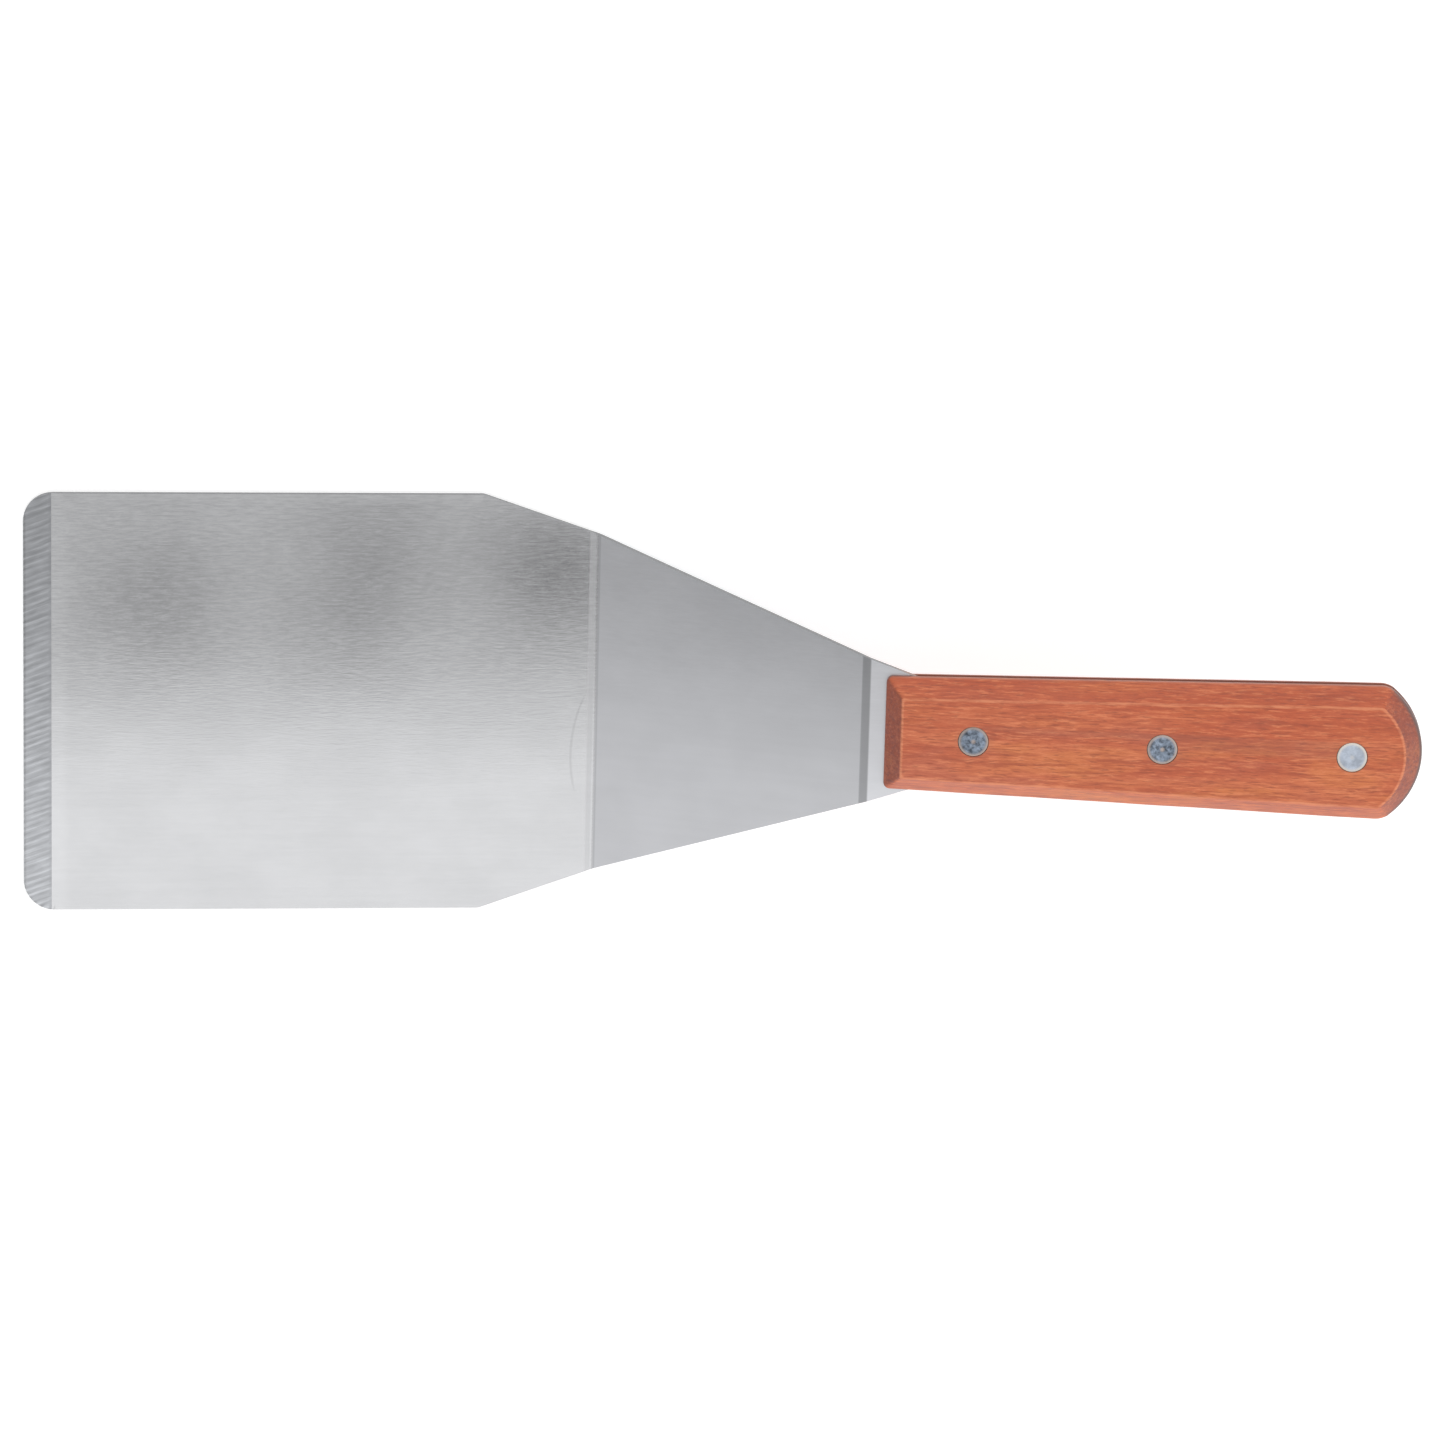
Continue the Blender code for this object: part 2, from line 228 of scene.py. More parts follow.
def cad_copy(node):
    """A copy of a node's CAD mesh with its flat faces whole again."""
    bm = bmesh.new()
    bm.from_mesh(frame["nodes"][node].data)
    bmesh.ops.remove_doubles(bm, verts=bm.verts, dist=WELD)
    bmesh.ops.dissolve_limit(bm, angle_limit=FLAT_ANGLE, verts=bm.verts, edges=bm.edges)
    return bm


def add_piece(name, node, bm, materials):
    """Makes the bmesh a piece that stands for its CAD node."""
    mesh = bpy.data.meshes.new(name)
    bm.to_mesh(mesh)
    bm.free()
    if "custom_normal" in mesh.attributes:
        mesh.attributes.remove(mesh.attributes["custom_normal"])
    for material in materials:
        mesh.materials.append(material)
    piece = bpy.data.objects.new(name, mesh)
    bpy.context.scene.collection.objects.link(piece)
    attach(piece, "root")
    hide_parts(node)
    return piece


def weigh_normals(piece):
    modifier = piece.modifiers.new("even_shading", "WEIGHTED_NORMAL")
    modifier.keep_sharp = True
    modifier.weight = FLAT_WEIGHT


def shade_smooth_to_rims(bm):
    for face in bm.faces:
        face.smooth = True
    for edge in bm.edges:
        edge.smooth = edge.calc_face_angle(0) < RIM_ANGLE


def round_edges(bm, edges, offset, clamp_overlap):
    bmesh.ops.bevel(
        bm,
        geom=edges,
        offset=offset,
        offset_type="OFFSET",
        segments=RIM_STEPS,
        profile=0.5,
        affect="EDGES",
        clamp_overlap=clamp_overlap,
    )


def slice_faces(bm, faces, point, normal):
    """Cuts these faces along a plane and returns the faces that they have become."""
    geometry = set(faces)
    for face in faces:
        geometry.update(face.edges)
        geometry.update(face.verts)
    cut = bmesh.ops.bisect_plane(
        bm, geom=list(geometry), dist=WELD, plane_co=point, plane_no=normal
    )
    return [item for item in cut["geom"] if isinstance(item, bmesh.types.BMFace)]


def bridge_rings(bm, rings):
    """Quads between each ring of vertices and the next."""
    for lower, upper in zip(rings, rings[1:]):
        for i in range(len(lower)):
            bm.faces.new((lower[i - 1], lower[i], upper[i], upper[i - 1]))


def smooth_noise(point, length):
    return noise.noise(Vector(point) / length)


def ease(value, low, high):
    """0 below low, 1 above high and smooth between them."""
    t = min(max((value - low) / (high - low), 0), 1)
    return t * t * (3 - 2 * t)


# ---------------------------------------------------------------- steel


class Sheet:
    """The steel sheet from the side, measured on the CAD blade. Lengths along it start at X = 0."""

    def __init__(self, bm, handle_tilt):
        upper = [face for face in bm.faces if face.normal.z > RIM_LEVEL]
        points = sorted({(vertex.co.x, vertex.co.z) for face in upper for vertex in face.verts})
        self.xs = np.array([point[0] for point in points])
        zs = np.array([point[1] for point in points])
        lengths = np.concatenate([[0], np.cumsum(np.hypot(np.diff(self.xs), np.diff(zs)))])
        self.lengths = lengths - np.interp(0, self.xs, lengths)
        ground = [face for face in upper if is_ground(face)]
        self.front = self.xs[0]
        self.band_end = max(vertex.co.x for face in ground for vertex in face.verts)
        tilts = {
            face: math.atan2(-face.normal.x, face.normal.z)
            for face in upper
            if face not in ground
        }
        steepest = max(tilts.values())
        neck_faces = [face for face, tilt in tilts.items() if steepest - tilt < BEND_MARGIN]
        neck = max(face.calc_center_median().x for face in neck_faces)
        turning = [face for face, tilt in tilts.items() if BEND_MARGIN < tilt < steepest - BEND_MARGIN]
        self.heel = self.middle_of(face for face in turning if face.calc_center_median().x < neck)
        self.tang_bend = self.middle_of(
            face
            for face in turning
            if face.calc_center_median().x > neck and tilts[face] > handle_tilt + BEND_MARGIN
        )

    def along(self, x):
        return float(np.interp(x, self.xs, self.lengths))

    def middle_of(self, faces):
        """The middle of these faces, along the sheet."""
        places = [self.along(vertex.co.x) for face in faces for vertex in face.verts]
        return (min(places) + max(places)) / 2


def is_ground(face):
    leans = face.normal.z > RIM_LEVEL and face.normal.x < -GRIND_TILT
    return leans and face.calc_center_median().x < 0


def add_grinding_ridges(bm, sheet):
    """Cuts the ground band along its slanting ridges and lowers the hollows between them."""
    crest = bm.verts.layers.float.new("ridge")
    along = Vector((math.cos(RIDGE_ANGLE), math.sin(RIDGE_ANGLE), 0))
    across = Vector((-along.y, along.x, 0))
    band = [face for face in bm.faces if is_ground(face)]
    corners = [vertex.co.dot(across) for face in band for vertex in face.verts]
    step = RIDGE_PITCH / RIDGE_CUTS
    for i in range(math.ceil(min(corners) / step), math.ceil(max(corners) / step)):
        band = slice_faces(bm, band, across * i * step, across)
    for share in BAND_CUTS:
        place = sheet.front + (sheet.band_end - sheet.front) * share
        band = slice_faces(bm, band, (place, 0, 0), (1, 0, 0))
    for vertex in {vertex for face in band for vertex in face.verts}:
        if any(not is_ground(face) for face in vertex.link_faces):
            continue
        place = vertex.co.dot(across)
        drift = RIDGE_DRIFT * smooth_noise((place, 0, 0), RIDGE_DRIFT_LENGTH)
        wave = math.cos(math.tau * (place / RIDGE_PITCH + drift))
        variety = RIDGE_VARIETY * smooth_noise((place, 1, 0), RIDGE_VARIETY_LENGTH)
        vertex.co.z -= RIDGE_HEIGHT * (1 + variety) * (1 - wave) / 2
        vertex[crest] = (1 + wave) / 2


def add_waves(bm, sheet):
    """Gentle waves, as in any thin sheet. They only lift the steel, so it still lies on Z = 0."""
    flats = [
        face
        for face in bm.faces
        if abs(face.normal.z) > RIM_LEVEL
        and not is_ground(face)
        and face.calc_center_median().x < sheet.heel
        and face.calc_area() > WAVE_CELL**2
    ]
    side = max(vertex.co.y for vertex in bm.verts)
    for i in range(math.ceil(sheet.front / WAVE_CELL), math.ceil(sheet.heel / WAVE_CELL)):
        flats = slice_faces(bm, flats, (i * WAVE_CELL, 0, 0), (1, 0, 0))
    for i in range(math.ceil(-side / WAVE_CELL), math.ceil(side / WAVE_CELL)):
        flats = slice_faces(bm, flats, (0, i * WAVE_CELL, 0), (0, 1, 0))
    for vertex in bm.verts:
        if vertex.co.x < sheet.heel:
            lift = 0.5 + smooth_noise((vertex.co.x, vertex.co.y, WAVE_SEED), WAVE_LENGTH)
            fade = ease(sheet.heel - vertex.co.x, 0, WAVE_LENGTH / 4)
            vertex.co.z += WAVE_HEIGHT * max(lift, 0) * fade


def unroll(bm, sheet):
    """A UV map in metres: U along the sheet from the middle of the blade, V across it."""
    layer = bm.loops.layers.uv.new("sheet")
    for face in bm.faces:
        for loop in face.loops:
            place = loop.vert.co
            loop[layer].uv = (sheet.along(place.x), place.y)


def build_blade(handle):
    """The CAD blade with rounded rims, grinding ridges and waves."""
    bm = cad_copy("blade")
    sheet = Sheet(bm, handle.tilt)
    rims = [edge for edge in bm.edges if edge.calc_face_angle(0) > RIM_ANGLE]
    round_edges(bm, rims, RIM_ROUND, clamp_overlap=True)
    add_grinding_ridges(bm, sheet)
    add_waves(bm, sheet)
    bm.normal_update()
    for face in bm.faces:
        face.smooth = True
        if is_ground(face):
            face.material_index = GROUND
        elif abs(face.normal.z) < RIM_LEVEL:
            face.material_index = SHEARED
    for edge in bm.edges:
        edge.smooth = {face.material_index for face in edge.link_faces} != {SATIN, GROUND}
    unroll(bm, sheet)
    materials = (satin_steel(sheet), ground_steel(sheet), sheared_steel(handle.origin.x))
    weigh_normals(add_piece("blade_sheet", "blade", bm, materials))


# ---------------------------------------------------------------- handle


class HandleFrame:
    """The handle's frame, from the mounts on its two faces: X runs along it from the wood's front."""

    def __init__(self):
        mounts = {mount["name"]: mount for mount in frame["record"]["mounts"]}
        upper = mounts["handle_upper_face"]
        lower = mounts["handle_lower_face"]
        up = Vector(upper["axis"]).normalized()
        across = Vector((0, 1, 0))
        self.along = across.cross(up)
        self.axes = Matrix((self.along, across, up)).transposed()
        self.tilt = math.atan2(self.along.z, self.along.x)
        self.origin = (Vector(upper["pos_m"]) + Vector(lower["pos_m"])) / 2
        front = self.points("handle_scale_top")[:, 0].min()
        self.origin = self.origin + self.axes @ Vector((front, 0, 0))
        points = self.points("handle_scale_top")
        self.length = points[:, 0].max()
        self.half_thickness = points[:, 2].max()
        near_front = points[points[:, 0] < 2 * FRONT_CORNER_RADIUS]
        near_end = points[points[:, 0] > self.length - END_RADIUS - END_CORNER_RADIUS]
        self.front_half_width = near_front[:, 1].max()
        self.end_half_width = near_end[:, 1].max()
        self.end_widest = near_end[near_end[:, 1].argmax(), 0]
        steel = self.points("blade")
        self.tang_half_thickness = steel[steel[:, 0] > self.length / 2][:, 2].max()
        self.rivets = {}
        for place in ("front", "middle", "rear"):
            along = self.points("rivet_sleeve_" + place)[:, 0]
            self.rivets[place] = float((along.min() + along.max()) / 2)
        along = self.points("rivet_sleeve_middle")[:, 0]
        self.head_radius = float(along.max() - along.min()) / 2

    def points(self, node):
        """The CAD node's vertices in this frame."""
        turn = self.axes.transposed()
        vertices = frame["nodes"][node].data.vertices
        return np.array([turn @ (vertex.co - self.origin) for vertex in vertices])

    def to_world(self, bm):
        matrix = Matrix.Translation(self.origin) @ self.axes.to_4x4()
        bmesh.ops.transform(bm, matrix=matrix, verts=bm.verts)


def turn_corner(corner, before, after, radius):
    """Points of an arc of this radius that rounds a corner between the points before and after it."""
    corner, before, after = Vector(corner), Vector(before), Vector(after)
    back = (before - corner).normalized()
    ahead = (after - corner).normalized()
    half = back.angle(ahead) / 2
    reach = radius / math.tan(half)
    centre = corner + (back + ahead).normalized() * radius / math.sin(half)
    start = corner + back * reach - centre
    turn = start.angle_signed(corner + ahead * reach - centre)
    return [
        centre + Matrix.Rotation(-turn * i / TURN_STEPS, 2) @ start
        for i in range(TURN_STEPS + 1)
    ]


def scale_ring(handle, inset):
    """The outline of a scale, this far inside its widest one, with the same points for every inset."""
    run = handle.end_widest - FRONT_CORNER_RADIUS
    slope = (handle.end_half_width - handle.front_half_width) / run
    lean = math.hypot(1, slope)

    def side(x):
        return handle.front_half_width + slope * (x - FRONT_CORNER_RADIUS) - inset * lean

    centre = handle.length - END_RADIUS
    radius = END_RADIUS - inset
    # The side line meets the end arc where x - centre = t solves t^2 + side^2 = radius^2.
    start = side(centre)
    a = 1 + slope**2
    b = start * slope
    c = start**2 - radius**2
    t = (-b + math.sqrt(b * b - a * c)) / a
    corner = Vector((centre + t, side(centre + t)))
    opening = math.atan2(corner.y, t)
    arc = []
    for i in range(END_STEPS + 1):
        angle = opening * (1 - i / END_STEPS)
        arc.append(Vector((centre + radius * math.cos(angle), radius * math.sin(angle))))
    front_radius = max(FRONT_CORNER_RADIUS - inset, LEAST_CORNER_RADIUS)
    end_radius = max(END_CORNER_RADIUS - inset, LEAST_CORNER_RADIUS)
    front = Vector((inset, side(inset)))
    points = turn_corner(front, (inset, 0), corner, front_radius)
    end_turn = turn_corner(corner, front, arc[LAST_POINT_CUT], end_radius)
    steps = round((handle.length - END_RADIUS) / SIDE_STEP)
    first, last = points[-1], end_turn[0]
    points += [first.lerp(last, i / steps) for i in range(1, steps)]
    points += end_turn
    points += arc[LAST_POINT_CUT + 1:]
    mirrored = [Vector((point.x, -point.y)) for point in reversed(points[:-1])]
    front_edge = [
        Vector((inset, -points[0].y * (1 - 2 * i / FRONT_STEPS))) for i in range(1, FRONT_STEPS)
    ]
    return points + mirrored + front_edge


def soft_corner(before, corner, after, reach, crest_highlight):
    """A curve that rounds the corner from this distance before it to the same distance after it."""
    before, corner, after = Vector(before), Vector(corner), Vector(after)
    start = corner + (before - corner).normalized() * reach
    end = corner + (after - corner).normalized() * reach
    curve = []
    for i in range(ROUND_POINTS + 1):
        t = i / ROUND_POINTS
        point = (1 - t) ** 2 * start + 2 * t * (1 - t) * corner + t * t * end
        curve.append((point.x, point.y, crest_highlight * (1 - (2 * t - 1) ** 2)))
    return curve


def scale_profile(handle):
    """The section of a scale's border, from the tang to the flat of the outer face.

    Each point is (inset, height, share of a ridge's painted highlight). The points rise from the tang.
    """
    inner = handle.tang_half_thickness + TANG_CLEARANCE
    top = handle.half_thickness
    flat_start = (INNER_ROUND * 4, inner)
    foot = (0, inner)
    waist = (0, top - CHAMFER_DEPTH)
    crest = (CHAMFER_WIDTH, top)
    flat = (2 * CHAMFER_WIDTH, top)
    return (
        [(*flat_start, 0)]
        + soft_corner(flat_start, foot, waist, INNER_ROUND, 0)
        + soft_corner(foot, waist, crest, WAIST_ROUND, WAIST_HIGHLIGHT)
        + soft_corner(waist, crest, flat, CREST_ROUND, 1)
    )


def disc_cutter(name, radius, bottom, top, x):
    mesh = bpy.data.meshes.new(name)
    bm = bmesh.new()
    bmesh.ops.create_cone(
        bm,
        cap_ends=True,
        segments=ROUND_SEGMENTS,
        radius1=radius,
        radius2=radius,
        depth=top - bottom,
        matrix=Matrix.Translation((x, 0, (top + bottom) / 2)),
    )
    bm.to_mesh(mesh)
    bm.free()
    cutter = bpy.data.objects.new(name, mesh)
    bpy.context.scene.collection.objects.link(cutter)
    return cutter


def drill(bm, handle):
    """Cuts the three recesses and barrel holes into a scale and breaks the recesses' rims."""
    mesh = bpy.data.meshes.new("undrilled")
    bm.to_mesh(mesh)
    bm.free()
    holder = bpy.data.objects.new("undrilled", mesh)
    bpy.context.scene.collection.objects.link(holder)
    top = handle.half_thickness
    floor = top - HEAD_THICKNESS - RECESS_CLEARANCE
    recess_radius = handle.head_radius + RECESS_CLEARANCE
    hole_radius = BARREL_DIAMETER / 2 + RECESS_CLEARANCE
    cutters = []
    for x in handle.rivets.values():
        cutters.append(disc_cutter("recess", recess_radius, floor, top + HEAD_THICKNESS, x))
        cutters.append(disc_cutter("barrel", hole_radius, -top, floor + RECESS_RIM, x))
    for cutter in cutters:
        boolean = holder.modifiers.new(cutter.name, "BOOLEAN")
        boolean.operation = "DIFFERENCE"
        boolean.object = cutter
    graph = bpy.context.evaluated_depsgraph_get()
    drilled = bmesh.new()
    drilled.from_object(holder, graph)
    for obj in [holder, *cutters]:
        bpy.data.objects.remove(obj)
    rims = [
        edge
        for edge in drilled.edges
        if edge.calc_face_angle(0) > RIM_ANGLE
        and all(abs(vertex.co.z - top) < RECESS_RIM for vertex in edge.verts)
    ]
    round_edges(drilled, rims, RECESS_RIM, clamp_overlap=False)
    return drilled


def sand_by_hand(bm, handle, seed):
    """Makes the wood's outside slightly uneven, away from the rivets and the tang."""
    reach = 2 * handle.head_radius
    for vertex in bm.verts:
        place = vertex.co
        near_rivet = abs(place.y) < reach and any(
            abs(place.x - x) < reach for x in handle.rivets.values()
        )
        if place.z > handle.tang_half_thickness + 4 * INNER_ROUND and not near_rivet:
            shift = smooth_noise(place + Vector((seed, 0, 0)), HAND_FINISH_LENGTH)
            toward_middle = Vector((0, -math.copysign(1, place.y), -1))
            vertex.co += toward_middle * HAND_FINISH * (shift + 0.5)


def store_grain(bm, shift):
    """Each point's place in the handle's frame, in metres, which the grain follows, shifted along Z."""
    layer = bm.verts.layers.float_vector.new("grain")
    for vertex in bm.verts:
        vertex[layer] = vertex.co + Vector((0, 0, shift))


def build_scale(name, node, handle, wood, turned_over):
    """One scale. Its hem is 1 at the seam with the tang, 0 at the waist and negative above it."""
    bm = bmesh.new()
    ridge = bm.verts.layers.float.new("ridge")
    hem = bm.verts.layers.float.new("hem")
    foot = handle.tang_half_thickness
    straight = handle.half_thickness - CHAMFER_DEPTH - foot
    rings = []
    for inset, height, crest_highlight in scale_profile(handle):
        rings.append([bm.verts.new((*point, height)) for point in scale_ring(handle, inset)])
        for vertex in rings[-1]:
            vertex[ridge] = crest_highlight
            vertex[hem] = 1 - (height - foot) / straight
    bridge_rings(bm, rings)
    bm.faces.new(rings[-1])
    bm.faces.new(list(reversed(rings[0])))
    bmesh.ops.recalc_face_normals(bm, faces=bm.faces)
    bm = drill(bm, handle)
    sand_by_hand(bm, handle, LOWER_SCALE_SEED if turned_over else 0)
    if turned_over:
        bmesh.ops.rotate(bm, verts=bm.verts, matrix=Matrix.Rotation(math.pi, 3, "X"))
    store_grain(bm, LOWER_SCALE_GRAIN if turned_over else 0)
    shade_smooth_to_rims(bm)
    handle.to_world(bm)
    weigh_normals(add_piece(name, node, bm, (wood,)))


# ---------------------------------------------------------------- rivets


def border_share(radius, head_radius):
    """0 on a rivet's flat face and 1 at its outer edge."""
    return max(radius - head_radius + HEAD_ROUND, 0) / HEAD_ROUND


def rivet_face_drop(radius, angle, head_radius, dents, seed):
    """How far a point of a rivet's face lies under its flat level."""
    share = border_share(radius, head_radius)
    rim = HEAD_DROP * (1 - math.sqrt(max(1 - share**2, 0)))
    dimple = DIMPLE_DEPTH * math.exp(-((radius / DIMPLE_RADIUS) ** 2))
    point = Vector((radius * math.cos(angle), radius * math.sin(angle), seed))
    pitting = smooth_noise(point, PIT_SIZE) + FINE_PIT_SHARE * smooth_noise(point, FINE_PIT_SIZE)
    return rim + dimple + dents * (0.5 + 0.5 * pitting) * (1 - ease(share, *PIT_FADE))


def add_rivet_face(bm, handle, dents, dimple, seed):
    """A rivet's face: its centre and the rings of vertices round it, with a painted highlight at the
    border and a lighter dimple.
    """
    top = handle.half_thickness
    head_radius = handle.head_radius
    bright = bm.verts.layers.float.new("ridge")
    centre = bm.verts.new((0, 0, top - rivet_face_drop(0, 0, head_radius, dents, seed)))
    centre[bright] = dimple
    rings = []
    for i in range(1, FACE_RINGS + 1):
        radius = head_radius * math.sin(math.pi / 2 * i / FACE_RINGS)
        border_highlight = ease(border_share(radius, head_radius), 0, 0.9)
        ring = []
        for angle in ROUND_ANGLES:
            drop = rivet_face_drop(radius, angle, head_radius, dents, seed)
            place = (radius * math.cos(angle), radius * math.sin(angle), top - drop)
            ring.append(bm.verts.new(place))
            ring[-1][bright] = border_highlight + dimple * ease(radius, *DIMPLE_EDGE)
        rings.append(ring)
    return centre, rings


def shank_profile(handle, turned_over):
    """Radius and height of the rings below a rivet's face: a pin when turned over, else a sleeve."""
    top = handle.half_thickness
    under_head = top - HEAD_THICKNESS
    shank = BARREL_DIAMETER / 2
    profile = [(handle.head_radius, under_head), (shank, under_head)]
    if turned_over:
        pin = shank * PIN_SHANK
        return profile + [(pin, under_head), (pin, top * PIN_END)]
    bore = shank * BORE_SHARE
    end = top * SLEEVE_END
    return profile + [(shank, end), (bore, end), (bore, top * BORE_END)]


def build_rivet_half(name, node, handle, x, look, seed, turned_over):
    """One half of a rivet: a fine face, a rounded rim, the head's side and a plain shank."""
    metal, dents, dimple = look
    bm = bmesh.new()
    centre, rings = add_rivet_face(bm, handle, dents, dimple, seed)
    for radius, height in shank_profile(handle, turned_over):
        ring = []
        for angle in ROUND_ANGLES:
            ring.append(bm.verts.new((radius * math.cos(angle), radius * math.sin(angle), height)))
        rings.append(ring)
    for j in range(ROUND_SEGMENTS):
        bm.faces.new((centre, rings[0][j - 1], rings[0][j]))
    bridge_rings(bm, rings)
    bm.faces.new(rings[-1])
    bmesh.ops.recalc_face_normals(bm, faces=bm.faces)
    shade_smooth_to_rims(bm)
    if turned_over:
        bmesh.ops.rotate(bm, verts=bm.verts, matrix=Matrix.Rotation(math.pi, 3, "X"))
    store_grain(bm, seed)
    bmesh.ops.translate(bm, verts=bm.verts, vec=(x, 0, 0))
    handle.to_world(bm)
    add_piece(name, node, bm, (metal,))


# ---------------------------------------------------------------- nodes


def new_material(name):
    material = bpy.data.materials.new(name)
    material.use_nodes = True
    tree = material.node_tree
    return material, tree, tree.nodes["Principled BSDF"]


def connect(tree, node, sockets):
    """Each of sockets is a number or vector to set, or an output to link."""
    for name, value in sockets.items():
        if isinstance(value, bpy.types.NodeSocket):
            tree.links.new(value, node.inputs[name])
        else:
            node.inputs[name].default_value = value


def add(tree, kind, sockets=None, **settings):
    made = tree.nodes.new("ShaderNode" + kind)
    for name, value in settings.items():
        setattr(made, name, value)
    connect(tree, made, sockets or {})
    return made


def math_of(tree, operation, a, b=0.0, clamp=False):
    return add(tree, "Math", {0: a, 1: b}, operation=operation, use_clamp=clamp).outputs[0]


def plus(tree, a, b):
    return math_of(tree, "ADD", a, b)


def times(tree, a, b):
    return math_of(tree, "MULTIPLY", a, b)


def mixed(tree, a, b, share):
    """This share of a and the rest of b."""
    return plus(tree, times(tree, a, share), times(tree, b, 1 - share))


def remap(tree, value, low, high, to_low=0.0, to_high=1.0):
    """A smooth step from one number to another as the value goes from low to high."""
    sockets = {
        "Value": value,
        "From Min": low,
        "From Max": high,
        "To Min": to_low,
        "To Max": to_high,
    }
    return add(tree, "MapRange", sockets, interpolation_type="SMOOTHSTEP").outputs["Result"]


def vary(tree, tone, value, low, high, at_low, at_high):
    """The tone times a factor that goes from at_low to at_high as the value goes from low to high."""
    return times(tree, tone, remap(tree, value, low, high, at_low, at_high))


def change(tree, tone, share, factor):
    """The tone itself where the share is 0, and times the factor where it is 1."""
    return vary(tree, tone, share, 0, 1, 1, factor)


def grainy(tree, place, size, detail=3.0, roughness=0.55, turn=0.0, offset=(0, 0, 0), distortion=0.0):
    """Noise of this size, in metres, along each axis, from 0 to 1."""
    turned = place
    if turn:
        sockets = {"Vector": place, "Angle": turn}
        turned = add(tree, "VectorRotate", sockets, rotation_type="Z_AXIS").outputs[0]
    scale = tuple(1 / length for length in size)
    vector = add(tree, "Mapping", {"Vector": turned, "Scale": scale, "Location": offset}).outputs[0]
    sockets = {
        "Vector": vector,
        "Scale": 1.0,
        "Detail": detail,
        "Roughness": roughness,
        "Distortion": distortion,
    }
    return add(tree, "TexNoise", sockets).outputs["Fac"]


def opaque(colour):
    """Three numbers as a colour with its alpha. An output stays as it is."""
    return colour if isinstance(colour, bpy.types.NodeSocket) else (*colour, 1)


def blend(tree, share, a, b, kind="MIX"):
    """Colour a where the share is 0 and b, or a times b, where it is 1."""
    made = add(tree, "Mix", data_type="RGBA", blend_type=kind)
    connect(tree, made, {0: share, 6: opaque(a), 7: opaque(b)})
    return made.outputs[2]


def tint(tree, colour, value):
    """The colour times a value."""
    grey = add(tree, "CombineColor", {"Red": value, "Green": value, "Blue": value}).outputs[0]
    return blend(tree, 1.0, colour, grey, "MULTIPLY")


def add_bump(tree, height, depth, below=None):
    """A bump whose full height is this many metres."""
    sockets = {"Height": height, "Distance": depth, "Strength": 1.0}
    if below is not None:
        sockets["Normal"] = below
    return add(tree, "Bump", sockets).outputs["Normal"]


def attribute(tree, name, output="Fac"):
    made = add(tree, "Attribute", attribute_name=name, attribute_type="GEOMETRY")
    return made.outputs[output]


def split(tree, place):
    return add(tree, "SeparateXYZ", {0: place}).outputs


def dot(tree, place, direction):
    made = add(tree, "VectorMath", {0: place, 1: direction}, operation="DOT_PRODUCT")
    return made.outputs["Value"]


def distance_from(tree, place, centre):
    offset = add(tree, "VectorMath", {0: place, 1: centre}, operation="SUBTRACT").outputs[0]
    return add(tree, "VectorMath", {0: offset}, operation="LENGTH").outputs["Value"]


def sheet_coordinates(tree):
    return add(tree, "UVMap", uv_map="sheet").outputs["UV"]


def band(tree, value, centre, half_width, softness):
    """1 within this distance of the centre, falling to 0 over the softness."""
    distance = math_of(tree, "ABSOLUTE", math_of(tree, "SUBTRACT", value, centre))
    return remap(tree, distance, half_width + softness, half_width)


# ---------------------------------------------------------------- materials


def press_mark(tree, place, axes, sheet):
    """1 on the faint arc that the bending tool's corner left in front of the heel."""
    centre = (sheet.heel + PRESS_MARK[0], PRESS_MARK[1], 0)
    distance = distance_from(tree, place, centre)
    line = band(tree, distance, PRESS_MARK_RADIUS, *PRESS_MARK_LINE)
    line = times(tree, line, band(tree, axes["Y"], PRESS_MARK_MIDDLE, *PRESS_MARK_SPAN))
    return times(tree, line, remap(tree, axes["X"], sheet.heel - 0.001, sheet.heel - 0.002))


